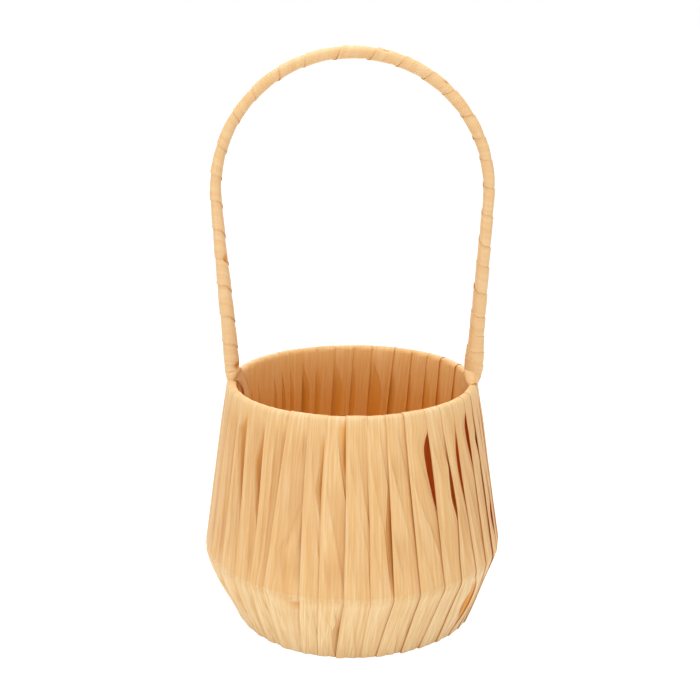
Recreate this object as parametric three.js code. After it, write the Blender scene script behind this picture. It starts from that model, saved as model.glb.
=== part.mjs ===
// A small ribbon-wound basket with a fixed hoop handle, in millimetres, +Z up.
// A welded wire frame (three rings, uprights and two floor wires) is wound all round with a flat
// plastic ribbon, which runs up the outside over the belly ring, over the rim and down the inside.
// The origin is on the table under the centre of the basket, and the handle stands in the XZ plane.
import * as THREE from 'three';

// Driving dimensions of the wall, at the wire centres unless a comment says otherwise
const BELLY_OUTSIDE_RADIUS = 90; // over the ribbon, at the widest ring
const BELLY_HEIGHT = 46;
const RIM_RING_RADIUS = 72;
const RIM_HEIGHT = 144;
const BASE_RING_RADIUS = 69;

// Wire diameters
const RIM_WIRE = 3.5;
const BASE_WIRE = 3;
const BELLY_WIRE = 3;
const UPRIGHT_WIRE = 2.5;
const FLOOR_WIRE = 2;
const HANDLE_CORE = 4.8;

// Handle, at the centre of its core
const HANDLE_ARCH_RADIUS = 78.5;
const HANDLE_ARCH_HEIGHT = 257.5; // of the arch's own centre

// Ribbon
const RIBBON_THICKNESS = 0.6; // with its pleats
const WALL_TURNS = 40; // round the whole wall, in two equal lengths
const WALL_EDGE_STEP = 0.8; // how far one edge of a turn stands proud of its neighbour
const WALL_TURN_GAP = 0.5; // between the edges of two turns
const UPPER_LEAN = 1; // degrees round the axis, from the rim down to the belly
const LOWER_LEAN = -3.5; // and from the belly down to the base
const HANDLE_PITCH = 14.8; // wanted distance between turns on the handle
const HANDLE_EDGE_STEP = 0.4;
const HANDLE_TURN_GAP = 0.6;
const RIBBON_TIP = 1.5; // width that the handle ribbon's slanted ends are cut to
const FOOT_FLAT = 0.5; // depth of the flat that each turn stands on, under the base ring

// Floor panel
const FLOOR_THICKNESS = 2;

// Clearances
const WRAP_CLEARANCE = 0.4; // between a ring and the ribbon round it
const HANDLE_WRAP_CLEARANCE = 0.5; // between the handle's core and its ribbon
const JOINT_GAP = 1; // between the ends of two lengths of ribbon
const WELD_GAP = 0.3; // between two welded wires
const SEAT_GAP = 0.3; // between the floor panel and what it touches
const PASSING_GAP = 0.5; // between a turn's edge and a wire that passes it
const UPRIGHT_COUNT = 8;
const UPRIGHT_BEND_LENGTH = 6; // of the bend at the belly ring, each way

// How finely round shapes are drawn
const RING_STEPS = 60;
const WIRE_SIDES = 8;
const CORE_STEPS = 56;
const CORE_SIDES = 10;
const HANDLE_TURN_STEPS = 8;
const FLOOR_SIDES = 60;

const TAU = 2 * Math.PI;
const degrees = THREE.MathUtils.degToRad;
const halfRibbon = RIBBON_THICKNESS / 2;

// The ribbon's middle lies this far from the wire centres
const rimWrap = RIM_WIRE / 2 + WRAP_CLEARANCE + halfRibbon;
const baseWrap = BASE_WIRE / 2 + WRAP_CLEARANCE + FOOT_FLAT + halfRibbon;
const bellyWrap = BELLY_WIRE / 2 + WRAP_CLEARANCE + halfRibbon;
const bellyRingRadius = BELLY_OUTSIDE_RADIUS - bellyWrap - halfRibbon - WALL_EDGE_STEP;
const baseHeight = baseWrap + halfRibbon - FOOT_FLAT;
const rimTop = RIM_HEIGHT + rimWrap + halfRibbon + WALL_EDGE_STEP;

// Finishes
const ribbonFinish = new THREE.MeshStandardMaterial({ color: 0xeec48c, roughness: 0.62, metalness: 0 });
const wireFinish = new THREE.MeshStandardMaterial({ color: 0xb9b4aa, roughness: 0.4, metalness: 0.9 });
const boardFinish = new THREE.MeshStandardMaterial({ color: 0xdcae74, roughness: 0.7, metalness: 0 });

const basket = new THREE.Group();

function addPiece(name, geometry, material) {
  const piece = new THREE.Mesh(geometry, material);
  piece.name = name;
  basket.add(piece);
  return piece;
}

// A closed strip through a list of sections, each a ring of corner points in the same order.
function stripGeometry(sections) {
  const sides = sections[0].length;
  const positions = sections.flat().flatMap((corner) => [corner.x, corner.y, corner.z]);
  const faces = [];
  for (let step = 0; step < sections.length - 1; step++) {
    for (let side = 0; side < sides; side++) {
      const near = step * sides + side;
      const nearNext = step * sides + ((side + 1) % sides);
      faces.push(near, nearNext, nearNext + sides, near, nearNext + sides, near + sides);
    }
  }
  const last = (sections.length - 1) * sides;
  for (let side = 1; side < sides - 1; side++) {
    faces.push(0, side + 1, side, last, last + side, last + side + 1);
  }
  const geometry = new THREE.BufferGeometry();
  geometry.setAttribute('position', new THREE.Float32BufferAttribute(positions, 3));
  geometry.setIndex(faces);
  return geometry;
}

// Wire rings
function ringGeometry(radius, wire) {
  return new THREE.TorusGeometry(radius, wire / 2, WIRE_SIDES, RING_STEPS);
}
const rimRing = addPiece('rim_ring', ringGeometry(RIM_RING_RADIUS, RIM_WIRE), wireFinish);
rimRing.position.z = RIM_HEIGHT;
const bellyRing = addPiece('belly_ring', ringGeometry(bellyRingRadius, BELLY_WIRE), wireFinish);
bellyRing.position.z = BELLY_HEIGHT;
const baseRing = addPiece('base_ring', ringGeometry(BASE_RING_RADIUS, BASE_WIRE), wireFinish);
baseRing.position.z = baseHeight;

function roundSection(diameter, sides) {
  const outline = [];
  for (let side = 0; side < sides; side++) {
    const turn = (TAU * side) / sides;
    outline.push(new THREE.Vector2(Math.cos(turn), Math.sin(turn)).multiplyScalar(diameter / 2));
  }
  return new THREE.Shape(outline);
}

function wireGeometry(path, diameter, steps, sides) {
  const options = { extrudePath: path, steps, bevelEnabled: false };
  return new THREE.ExtrudeGeometry(roundSection(diameter, sides), options);
}

// Uprights: each is butted under the rim ring, bent against the inside of the belly ring and
// butted on top of the base ring
const uprightBellyRadius = bellyRingRadius - BELLY_WIRE / 2 - WELD_GAP - UPRIGHT_WIRE / 2;
function uprightPath() {
  const top = new THREE.Vector3(RIM_RING_RADIUS, 0, RIM_HEIGHT - RIM_WIRE / 2 - WELD_GAP);
  const bend = new THREE.Vector3(uprightBellyRadius, 0, BELLY_HEIGHT);
  const foot = new THREE.Vector3(BASE_RING_RADIUS, 0, baseHeight + BASE_WIRE / 2 + WELD_GAP);
  const towards = (end) => bend.clone().addScaledVector(end.clone().sub(bend).normalize(), UPRIGHT_BEND_LENGTH);
  const path = new THREE.CurvePath();
  path.add(new THREE.LineCurve3(top, towards(top)));
  path.add(new THREE.QuadraticBezierCurve3(towards(top), bend, towards(foot)));
  path.add(new THREE.LineCurve3(towards(foot), foot));
  return path;
}
const UPRIGHT_STEPS = 16;
for (let index = 0; index < UPRIGHT_COUNT; index++) {
  const geometry = wireGeometry(uprightPath(), UPRIGHT_WIRE, UPRIGHT_STEPS, WIRE_SIDES);
  const upright = addPiece(`upright_${index + 1}`, geometry, wireFinish);
  upright.rotation.z = (TAU * index) / UPRIGHT_COUNT;
}

// Floor wires: two straight wires, one crossing over the other, butted against the base ring's inside
const floorWireReach = BASE_RING_RADIUS - BASE_WIRE / 2 - WELD_GAP;
const floorWireOffset = (FLOOR_WIRE + WELD_GAP) / 2;
const floorWireAngle = degrees(UPPER_LEAN + LOWER_LEAN);
function floorWirePath() {
  return new THREE.LineCurve3(new THREE.Vector3(-floorWireReach, 0, 0), new THREE.Vector3(floorWireReach, 0, 0));
}
const floorWireGeometry = () => wireGeometry(floorWirePath(), FLOOR_WIRE, 1, WIRE_SIDES);
const lowerFloorWire = addPiece('floor_wire_lower', floorWireGeometry(), wireFinish);
lowerFloorWire.rotation.z = floorWireAngle;
lowerFloorWire.position.z = baseHeight - floorWireOffset;
const upperFloorWire = addPiece('floor_wire_upper', floorWireGeometry(), wireFinish);
upperFloorWire.rotation.z = floorWireAngle + TAU / 4;
upperFloorWire.position.z = baseHeight + floorWireOffset;

// The closed way of one turn round the wall, as stations in the plane of radius and height.
// Each has the direction that faces out of the wall, and says how far the turn is from its place at
// the base (0) to the belly (1) and the rim (2), or on its way down the inside (2 to 3).
const base = { radius: BASE_RING_RADIUS, height: baseHeight, wrap: baseWrap };
const belly = { radius: bellyRingRadius, height: BELLY_HEIGHT, wrap: bellyWrap };
const rim = { radius: RIM_RING_RADIUS, height: RIM_HEIGHT, wrap: rimWrap };

// The outward direction of the straight stretch between two rings, tangent to both.
function stretchDirection(from, to) {
  const along = new THREE.Vector2(to.radius - from.radius, to.height - from.height);
  return along.angle() - Math.acos((from.wrap - to.wrap) / along.length());
}
const lowerDirection = stretchDirection(base, belly);
const upperDirection = stretchDirection(belly, rim);
const innerDirection = stretchDirection(rim, base);

function stationOn(ring, direction, place, lift) {
  return { ring, direction, place, lift };
}

function turnStations() {
  const underside = degrees(270);
  const flat = Math.acos(baseHeight / (baseWrap + halfRibbon));
  const inward = innerDirection;
  const outward = lowerDirection > inward ? lowerDirection : lowerDirection + TAU;
  const bellyMiddle = (outward + upperDirection + TAU) / 2;
  const rimSweep = inward - upperDirection;
  const stations = [
    stationOn(base, inward, 0, 0),
    stationOn(base, (inward + underside - flat) / 2, 0, 0),
    stationOn(base, underside - flat, 0, 0),
    stationOn(base, underside + flat, 0, 0),
    stationOn(base, outward, 0, 0),
    stationOn(belly, outward, 1, 1),
    stationOn(belly, bellyMiddle, 1, 1),
    stationOn(belly, upperDirection, 1, 1),
  ];
  const rimSteps = 5;
  for (let step = 0; step <= rimSteps; step++) {
    stations.push(stationOn(rim, upperDirection + (rimSweep * step) / rimSteps, 2, 1));
  }
  return stations;
}

// Where each turn crosses the rings, in degrees round the axis. The turns part for the handle's feet
// at the rim and for the floor wires at the base.
const footParting = THREE.MathUtils.radToDeg((HANDLE_CORE + 2 * PASSING_GAP) / RIM_RING_RADIUS);
const wireParting = THREE.MathUtils.radToDeg((FLOOR_WIRE + 2 * PASSING_GAP) / BASE_RING_RADIUS);
const rimPitch = (360 - 2 * footParting) / WALL_TURNS;
const basePitch = (360 - 4 * wireParting) / WALL_TURNS;
const bellyPitch = 360 / WALL_TURNS;

function partedAngle(turn, pitch, partings, parting) {
  const passed = Math.floor((turn * partings) / WALL_TURNS);
  return (turn + 0.5) * pitch + (passed + 0.5) * parting;
}
const rimAngle = (turn) => partedAngle(turn, rimPitch, 2, footParting);
const bellyAngle = (turn) => UPPER_LEAN + (turn + 0.5) * bellyPitch;
const baseAngle = (turn) => UPPER_LEAN + LOWER_LEAN + partedAngle(turn, basePitch, 4, wireParting);
const placeAngles = [baseAngle, bellyAngle, rimAngle];
const placePitches = [basePitch, bellyPitch, rimPitch];

// The four corners of the ribbon's section: the proud edge comes first round the axis.
function wallSection(radius, height, direction, angle, pitch, lift) {
  const halfWidth = (degrees(pitch) - WALL_TURN_GAP / radius) / 2;
  const corner = (side, offset) => {
    const spin = degrees(angle) + side * halfWidth;
    const reach = radius + Math.cos(direction) * offset;
    return new THREE.Vector3(reach * Math.cos(spin), reach * Math.sin(spin), height + Math.sin(direction) * offset);
  };
  const proud = lift * WALL_EDGE_STEP;
  return [corner(-1, proud + halfRibbon), corner(1, halfRibbon), corner(1, -halfRibbon), corner(-1, proud - halfRibbon)];
}

function sectionAt(station, turn) {
  const { ring, direction, place, lift } = station;
  const radius = ring.radius + Math.cos(direction) * ring.wrap;
  const height = ring.height + Math.sin(direction) * ring.wrap;
  return wallSection(radius, height, direction, placeAngles[place](turn), placePitches[place], lift);
}

function blendSections(from, to, share) {
  return from.map((corner, index) => corner.clone().lerp(to[index], share));
}

// One length of ribbon, from turn to turn. It ends a joint's gap short of the base, where the next
// length begins.
const PANEL_SHARES = [0.5];
function windingSections(firstTurn, lastTurn) {
  const stations = turnStations();
  const sections = [];
  for (let turn = firstTurn; turn <= lastTurn; turn++) {
    stations.forEach((station, index) => {
      const here = sectionAt(station, turn);
      const before = sections[sections.length - 1];
      if (before && (index === 0 || station.place !== stations[index - 1].place)) {
        PANEL_SHARES.forEach((share) => sections.push(blendSections(before, here, share)));
      }
      sections.push(here);
    });
  }
  const lastRim = sections[sections.length - 1];
  const nextBase = sectionAt(stations[0], lastTurn + 1);
  const innerLength = lastRim[0].distanceTo(nextBase[0]);
  const endShare = 1 - JOINT_GAP / innerLength;
  sections.push(blendSections(lastRim, nextBase, endShare / 2), blendSections(lastRim, nextBase, endShare));
  return sections;
}

// The least distance between one edge of each turn and the facing edge of the next, on points along them.
const POINTS_PER_STEP = 6;
const SEARCH_STEPS = 4;
function edgePoints(sections, step, corners) {
  const points = [];
  for (const corner of corners) {
    for (let part = 0; part <= POINTS_PER_STEP; part++) {
      points.push(sections[step][corner].clone().lerp(sections[step + 1][corner], part / POINTS_PER_STEP));
    }
  }
  return points;
}

function leastGap(sections, stepsPerTurn, edge, facingEdge) {
  let least = Infinity;
  const lastStep = sections.length - 2;
  for (let step = 0; step <= lastStep; step++) {
    const from = Math.max(step + stepsPerTurn - SEARCH_STEPS, 0);
    const to = Math.min(step + stepsPerTurn + SEARCH_STEPS, lastStep);
    const points = edgePoints(sections, step, edge);
    for (let facing = from; facing <= to; facing++) {
      for (const other of edgePoints(sections, facing, facingEdge)) {
        points.forEach((point) => {
          least = Math.min(least, point.distanceTo(other));
        });
      }
    }
  }
  return least;
}

const halfTurns = WALL_TURNS / 2;
const backSections = windingSections(0, halfTurns - 1);
const frontSections = windingSections(halfTurns, WALL_TURNS - 1);
addPiece('wall_ribbon_back', stripGeometry(backSections), ribbonFinish);
addPiece('wall_ribbon_front', stripGeometry(frontSections), ribbonFinish);
const WALL_STEPS_PER_TURN = (backSections.length - 1) / halfTurns;
console.log('wall ribbon, least gap to itself:', leastGap(backSections, WALL_STEPS_PER_TURN, [1, 2], [0, 3]).toFixed(2));

// Floor panel: a disc that lies on the upper floor wire inside the wall
const wallInside = BASE_RING_RADIUS - baseWrap - halfRibbon - WALL_EDGE_STEP;
const floorUnderside = baseHeight + floorWireOffset + FLOOR_WIRE / 2 + SEAT_GAP;
const floorGeometry = new THREE.CylinderGeometry(
  wallInside - SEAT_GAP,
  wallInside - SEAT_GAP,
  FLOOR_THICKNESS,
  FLOOR_SIDES,
);
const floorPanel = addPiece('floor_panel', floorGeometry, boardFinish);
floorPanel.rotation.x = TAU / 4;
floorPanel.position.z = floorUnderside + FLOOR_THICKNESS / 2;

// Handle: two straight legs that run into the arch, tangent to it, and stand on the rim ring
const footHeight = RIM_HEIGHT + RIM_WIRE / 2 + WELD_GAP;
const footDrop = HANDLE_ARCH_HEIGHT - footHeight;
const footDistance = Math.hypot(RIM_RING_RADIUS, footDrop);
const legLength = Math.sqrt(footDistance ** 2 - HANDLE_ARCH_RADIUS ** 2);
const archStart = Math.acos(HANDLE_ARCH_RADIUS / footDistance) - Math.atan2(footDrop, RIM_RING_RADIUS);
const archLength = HANDLE_ARCH_RADIUS * (Math.PI - 2 * archStart);
const handleLength = 2 * legLength + archLength;

// A place along the handle, from the foot at -X to the foot at +X, and the outward direction there.
function handlePlace(distance) {
  const onLeftLeg = distance < legLength;
  const onRightLeg = distance > legLength + archLength;
  const along = THREE.MathUtils.clamp(distance - legLength, 0, archLength);
  const turn = Math.PI - archStart - along / HANDLE_ARCH_RADIUS;
  const outward = new THREE.Vector3(Math.cos(turn), 0, Math.sin(turn));
  const forward = new THREE.Vector3(Math.sin(turn), 0, -Math.cos(turn));
  const point = outward.clone().multiplyScalar(HANDLE_ARCH_RADIUS);
  point.z += HANDLE_ARCH_HEIGHT;
  if (onLeftLeg) point.addScaledVector(forward, distance - legLength);
  if (onRightLeg) point.addScaledVector(forward, distance - legLength - archLength);
  return { point, outward };
}

class HandleCurve extends THREE.Curve {
  getPoint(share, target = new THREE.Vector3()) {
    return target.copy(handlePlace(share * handleLength).point);
  }
}
addPiece('handle_core', wireGeometry(new HandleCurve(), HANDLE_CORE, CORE_STEPS, CORE_SIDES), wireFinish);

// Handle ribbon: wound from foot to foot in two equal lengths that meet at the crown. Its two ends at
// the feet are cut on the slant, just above the rim.
const handleWrap = HANDLE_CORE / 2 + HANDLE_WRAP_CLEARANCE;
const handleOutside = handleWrap + RIBBON_THICKNESS + HANDLE_EDGE_STEP;
const legTilt = Math.abs(Math.asin((HANDLE_ARCH_RADIUS - RIM_RING_RADIUS) / footDistance));
const ribbonStart = (rimTop + PASSING_GAP - footHeight) / Math.cos(legTilt) + handleOutside * Math.tan(legTilt);
const ribbonEnd = handleLength - ribbonStart;
const handleTurns = 2 * Math.round((ribbonEnd - ribbonStart) / HANDLE_PITCH / 2);
const handlePitch = (ribbonEnd - ribbonStart) / handleTurns;
const handleRibbonWidth = handlePitch - HANDLE_TURN_GAP;

function handleCorner(distance, turn, offset) {
  const { point, outward } = handlePlace(distance);
  return point
    .addScaledVector(outward, Math.cos(turn) * offset)
    .addScaledVector(new THREE.Vector3(0, 1, 0), Math.sin(turn) * offset);
}

function handleSection(step) {
  const turn = (TAU * step) / HANDLE_TURN_STEPS;
  const low = ribbonStart + (handlePitch * step) / HANDLE_TURN_STEPS;
  const start = Math.max(low, ribbonStart);
  const end = Math.min(low + handleRibbonWidth, ribbonEnd);
  const middle = (start + end) / 2;
  const outer = handleWrap + RIBBON_THICKNESS;
  return [
    handleCorner(start, turn, outer + HANDLE_EDGE_STEP),
    handleCorner(middle, turn, outer + HANDLE_EDGE_STEP / 2),
    handleCorner(end, turn, outer),
    handleCorner(end, turn, handleWrap),
    handleCorner(middle, turn, handleWrap + HANDLE_EDGE_STEP / 2),
    handleCorner(start, turn, handleWrap + HANDLE_EDGE_STEP),
  ];
}

function handleRibbonSections(firstStep, lastStep) {
  const sections = [handleSection(firstStep)];
  for (let step = Math.floor(firstStep) + 1; step <= lastStep; step++) {
    sections.push(handleSection(step));
  }
  return sections;
}
const tipSteps = Math.floor(((handleRibbonWidth - RIBBON_TIP) / handlePitch) * HANDLE_TURN_STEPS);
const lastHandleStep = (handleTurns - 1) * HANDLE_TURN_STEPS + tipSteps;
const crownStep = (handleTurns / 2 - 1) * HANDLE_TURN_STEPS + HANDLE_TURN_STEPS / 2;
const jointSteps = (JOINT_GAP / (TAU * handleWrap)) * HANDLE_TURN_STEPS;
const leftSections = handleRibbonSections(-tipSteps, crownStep);
const rightSections = handleRibbonSections(crownStep + jointSteps, lastHandleStep);
addPiece('handle_ribbon_left', stripGeometry(leftSections), ribbonFinish);
addPiece('handle_ribbon_right', stripGeometry(rightSections), ribbonFinish);
console.log('handle ribbon, least gap to itself:', leastGap(leftSections, HANDLE_TURN_STEPS, [2, 3], [0, 5]).toFixed(2));

export default basket;
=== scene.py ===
import math
import random

import bpy
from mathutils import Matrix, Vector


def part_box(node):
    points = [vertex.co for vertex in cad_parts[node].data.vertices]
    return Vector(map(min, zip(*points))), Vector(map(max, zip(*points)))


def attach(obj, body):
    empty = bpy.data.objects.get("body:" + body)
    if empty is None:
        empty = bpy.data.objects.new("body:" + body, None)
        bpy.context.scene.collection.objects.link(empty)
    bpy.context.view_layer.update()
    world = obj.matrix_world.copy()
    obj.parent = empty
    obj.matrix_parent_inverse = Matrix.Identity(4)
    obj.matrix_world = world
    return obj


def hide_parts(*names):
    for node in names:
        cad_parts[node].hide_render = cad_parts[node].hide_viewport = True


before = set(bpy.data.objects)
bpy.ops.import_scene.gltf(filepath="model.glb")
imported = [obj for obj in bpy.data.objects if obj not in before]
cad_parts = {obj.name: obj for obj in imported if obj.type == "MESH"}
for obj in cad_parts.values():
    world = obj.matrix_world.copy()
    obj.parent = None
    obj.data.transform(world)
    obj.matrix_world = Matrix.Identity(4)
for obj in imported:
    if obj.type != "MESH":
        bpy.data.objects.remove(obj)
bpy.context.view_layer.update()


# Camera. It stands a little above the rim and looks down into the basket, and the basket stands
# slightly right of the middle of the picture.
CAMERA_PLACE = (0, -0.6768, 0.3548)
CAMERA_DOWN = math.radians(15.75)
CAMERA_LENS = 60.83
CAMERA_SENSOR = 36
CAMERA_SHIFT = -0.0033
CAMERA_NEAR = 0.01

bpy.ops.object.camera_add(location=CAMERA_PLACE, rotation=(math.radians(90) - CAMERA_DOWN, 0, 0))
camera = bpy.context.object
camera.data.lens = CAMERA_LENS
camera.data.sensor_width = CAMERA_SENSOR
camera.data.shift_x = CAMERA_SHIFT
camera.data.clip_start = CAMERA_NEAR
bpy.context.scene.camera = camera
bpy.context.scene.view_settings.view_transform = "Standard"


# Studio. A large soft lamp overhead, softer low ones from the left and the right in front, one behind
# and above that lights the rim and the inner sides of the handle, and an even white surround.
SURROUND_LIGHT = 0.56
# Each lamp's name, place, width in metres and power in watts.
LAMPS = (
    ("overhead_lamp", (-0.1, -0.05, 1.3), 1.2, 11.5),
    ("left_lamp", (-0.9, -1.2, 0.06), 0.8, 6.4),
    ("right_lamp", (0.9, -1.1, 0.06), 0.8, 4.6),
    ("back_lamp", (0, 0.7, 0.55), 0.6, 2),
)
LAMP_AIM = (0, 0, 0.1)

for lamp_name, lamp_place, lamp_size, lamp_power in LAMPS:
    bpy.ops.object.light_add(type="AREA", location=lamp_place)
    lamp = bpy.context.object
    lamp.name = lamp_name
    lamp.data.size = lamp_size
    lamp.data.energy = lamp_power
    towards = [LAMP_AIM[axis] - lamp_place[axis] for axis in range(3)]
    level_distance = math.hypot(towards[0], towards[1])
    tilt = math.atan2(level_distance, -towards[2])
    lamp.rotation_euler = (tilt, 0, math.atan2(-towards[0], towards[1]))

surround = bpy.data.worlds.new("surround")
bpy.context.scene.world = surround
surround.use_nodes = True
surround_tree = surround.node_tree
background = surround_tree.nodes["Background"]
background.inputs["Color"].default_value = (1, 1, 1, 1)


def seen_directly(tree):
    """1 for rays that show the background: from the camera, in a gloss and through glass."""
    path = tree.nodes.new("ShaderNodeLightPath")
    either = tree.nodes.new("ShaderNodeMath")
    either.operation = "MAXIMUM"
    tree.links.new(path.outputs["Is Camera Ray"], either.inputs[0])
    tree.links.new(path.outputs["Is Glossy Ray"], either.inputs[1])
    any_of_three = tree.nodes.new("ShaderNodeMath")
    any_of_three.operation = "MAXIMUM"
    tree.links.new(either.outputs[0], any_of_three.inputs[0])
    tree.links.new(path.outputs["Is Transmission Ray"], any_of_three.inputs[1])
    return any_of_three.outputs[0]


surround_strength = surround_tree.nodes.new("ShaderNodeMapRange")
surround_strength.inputs["To Min"].default_value = SURROUND_LIGHT
surround_strength.inputs["To Max"].default_value = 1
surround_tree.links.new(seen_directly(surround_tree), surround_strength.inputs["Value"])
surround_tree.links.new(surround_strength.outputs["Result"], background.inputs["Strength"])


# Floor. A plain white sheet: seen from the camera it is nearly as white as the background, with only
# a faint shadow under the basket.
FLOOR_SIZE = 60
FLOOR_WHITE = (0.9, 0.9, 0.9, 1)
FLOOR_GLOW = 1.25
SHADOW_KEPT = 0.2

bpy.ops.mesh.primitive_plane_add(size=FLOOR_SIZE, location=(0, 0, 0))
floor = bpy.context.object
floor.name = "floor"
floor_paint = bpy.data.materials.new("floor_paint")
floor_paint.use_nodes = True
floor_tree = floor_paint.node_tree
floor_tree.nodes.remove(floor_tree.nodes["Principled BSDF"])
floor_matt = floor_tree.nodes.new("ShaderNodeBsdfDiffuse")
floor_matt.inputs["Color"].default_value = FLOOR_WHITE
floor_glow = floor_tree.nodes.new("ShaderNodeEmission")
floor_glow.inputs["Strength"].default_value = FLOOR_GLOW
floor_share = floor_tree.nodes.new("ShaderNodeMath")
floor_share.operation = "MULTIPLY"
floor_share.inputs[1].default_value = 1 - SHADOW_KEPT
floor_tree.links.new(seen_directly(floor_tree), floor_share.inputs[0])
floor_mix = floor_tree.nodes.new("ShaderNodeMixShader")
floor_tree.links.new(floor_share.outputs[0], floor_mix.inputs["Fac"])
floor_tree.links.new(floor_matt.outputs[0], floor_mix.inputs[1])
floor_tree.links.new(floor_glow.outputs[0], floor_mix.inputs[2])
floor_tree.links.new(floor_mix.outputs[0], floor_tree.nodes["Material Output"].inputs["Surface"])
floor.data.materials.append(floor_paint)


# Wall. One flat matt plastic ribbon, drawn in fine lengthwise fibres, wound about forty times round
# the rings in two lengths: up the outside over the belly, over the rim, down the inside and round the
# base. Each turn laps over the last, gathered into shallow pleats. Orange painted glow and painted
# shade lie in its deep folds, along its seams, in its gaps and over the inside of the wall.
RIBBON_CREAM = (0.92, 0.705, 0.4, 1)
RIBBON_TAN = (0.815, 0.53, 0.23, 1)
# The orange of the painted glow, which on the handle is also a light even tone; the painted shade; and
# the near black painted shade of holes.
RIBBON_TONE_AND_GLOW = (0.88, 0.36, 0.01, 1)
RIBBON_SHADE = (0.5, 0.18, 0.02, 1)
RIBBON_HOLE_SHADE = (0.04, 0.012, 0.003, 1)
RIBBON_ROUGHNESS = 0.55
RIBBON_LAYER = 0.00035
SEED = 7


def new_material(name):
    material = bpy.data.materials.new(name)
    material.use_nodes = True
    return material, material.node_tree, material.node_tree.nodes["Principled BSDF"]


# The noises that draw the fibres: name, scale across and along the ribbon in metres, and detail.
FIBRE_NOISES = (
    ("Fine", (1400, 60, 1), 1),
    ("Streak", (800, 16, 1), 1),
    ("Band", (230, 12, 1), 0),
    ("Rib", (150, 700, 1), 0),
)
FIBRE_WAVER = 0.25


def fibre_group():
    """Lengthwise fibres and bands on a ribbon whose UV map is in metres, across and along."""
    group = bpy.data.node_groups.new("ribbon fibres", "ShaderNodeTree")
    group.interface.new_socket("Ribbon", in_out="INPUT", socket_type="NodeSocketVector")
    ends = group.nodes.new("NodeGroupInput"), group.nodes.new("NodeGroupOutput")
    for name, scale, detail in FIBRE_NOISES:
        group.interface.new_socket(name, in_out="OUTPUT", socket_type="NodeSocketFloat")
        stretch = group.nodes.new("ShaderNodeMapping")
        stretch.inputs["Scale"].default_value = scale
        noise = group.nodes.new("ShaderNodeTexNoise")
        noise.inputs["Scale"].default_value = 1
        noise.inputs["Detail"].default_value = detail
        noise.inputs["Distortion"].default_value = FIBRE_WAVER
        group.links.new(ends[0].outputs["Ribbon"], stretch.inputs["Vector"])
        group.links.new(stretch.outputs["Vector"], noise.inputs["Vector"])
        group.links.new(noise.outputs["Fac"], ends[1].inputs[name])
    return group


ribbon_fibres = fibre_group()


def mix_colour(tree, share, first, second):
    mix = tree.nodes.new("ShaderNodeMix")
    mix.data_type = "RGBA"
    tree.links.new(share, mix.inputs["Factor"])
    for value, socket in ((first, mix.inputs["A"]), (second, mix.inputs["B"])):
        if isinstance(value, tuple):
            socket.default_value = value
        else:
            tree.links.new(value, socket)
    return mix.outputs["Result"]


def map_range(tree, value, low, high, out_low, out_high):
    node = tree.nodes.new("ShaderNodeMapRange")
    sockets = ("From Min", "From Max", "To Min", "To Max")
    for name, number in zip(sockets, (low, high, out_low, out_high)):
        node.inputs[name].default_value = number
    tree.links.new(value, node.inputs["Value"])
    return node.outputs["Result"]


def add_values(tree, first, second, weight):
    """The first value, and the second times its weight."""
    node = tree.nodes.new("ShaderNodeMath")
    node.operation = "MULTIPLY_ADD"
    tree.links.new(second, node.inputs[0])
    node.inputs[1].default_value = weight
    tree.links.new(first, node.inputs[2])
    return node.outputs[0]


# How strongly the fine fibres show beside the streaks, and between which values of the noise the ribbon
# turns from pale to tan. Its relief is the bands, with this much of the streaks and of the cross ribs.
FINE_WEIGHT = 0.7
STREAK_RANGE = (0.68, 1.04)
BAND_RANGE = (0.42, 0.62)
BAND_STRENGTH = 0.4
STREAK_RELIEF = 0.1
RIB_RELIEF = 0.05
RELIEF_HEIGHT = 0.0003
WALL_RELIEF = 0.6


def ribbon_material(name, pale, tan, tone_and_glow, dark, relief_strength):
    """Ribbon painted by two attributes: one mixes in orange tone and painted glow, and "shade" mixes in
    painted shade and, past one, a near black painted shade.
    """
    material, tree, shader = new_material(name)
    uv = tree.nodes.new("ShaderNodeUVMap")
    uv.uv_map = "ribbon"
    fibres = tree.nodes.new("ShaderNodeGroup")
    fibres.node_tree = ribbon_fibres
    tree.links.new(uv.outputs["UV"], fibres.inputs["Ribbon"])
    band, streak = fibres.outputs["Band"], fibres.outputs["Streak"]
    shares = {}
    for attribute in ("tone_and_glow", "shade"):
        reader = tree.nodes.new("ShaderNodeAttribute")
        reader.attribute_name = attribute
        shares[attribute] = reader.outputs["Fac"]
    fine = add_values(tree, streak, fibres.outputs["Fine"], FINE_WEIGHT)
    streaked = mix_colour(tree, map_range(tree, fine, *STREAK_RANGE, 0, 1), pale, tan)
    banded = mix_colour(tree, map_range(tree, band, *BAND_RANGE, 0, BAND_STRENGTH), streaked, tan)
    # Mixed in turn: orange tone and painted glow, painted shade, and past one the near black painted
    # shade of holes.
    toned_and_glowed = mix_colour(tree, shares["tone_and_glow"], banded, tone_and_glow)
    shaded = mix_colour(tree, shares["shade"], toned_and_glowed, dark)
    hole_shade = map_range(tree, shares["shade"], 1, 2, 0, 1)
    tree.links.new(mix_colour(tree, hole_shade, shaded, RIBBON_HOLE_SHADE), shader.inputs["Base Color"])
    shader.inputs["Roughness"].default_value = RIBBON_ROUGHNESS
    relief = add_values(tree, band, streak, STREAK_RELIEF)
    relief = add_values(tree, relief, fibres.outputs["Rib"], RIB_RELIEF)
    bump = tree.nodes.new("ShaderNodeBump")
    bump.inputs["Strength"].default_value = relief_strength
    bump.inputs["Distance"].default_value = RELIEF_HEIGHT
    tree.links.new(relief, bump.inputs["Height"])
    tree.links.new(bump.outputs["Normal"], shader.inputs["Normal"])
    return material


ribbon_face = ribbon_material(
    "ribbon_face", RIBBON_CREAM, RIBBON_TAN, RIBBON_TONE_AND_GLOW, RIBBON_SHADE, WALL_RELIEF
)
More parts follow.
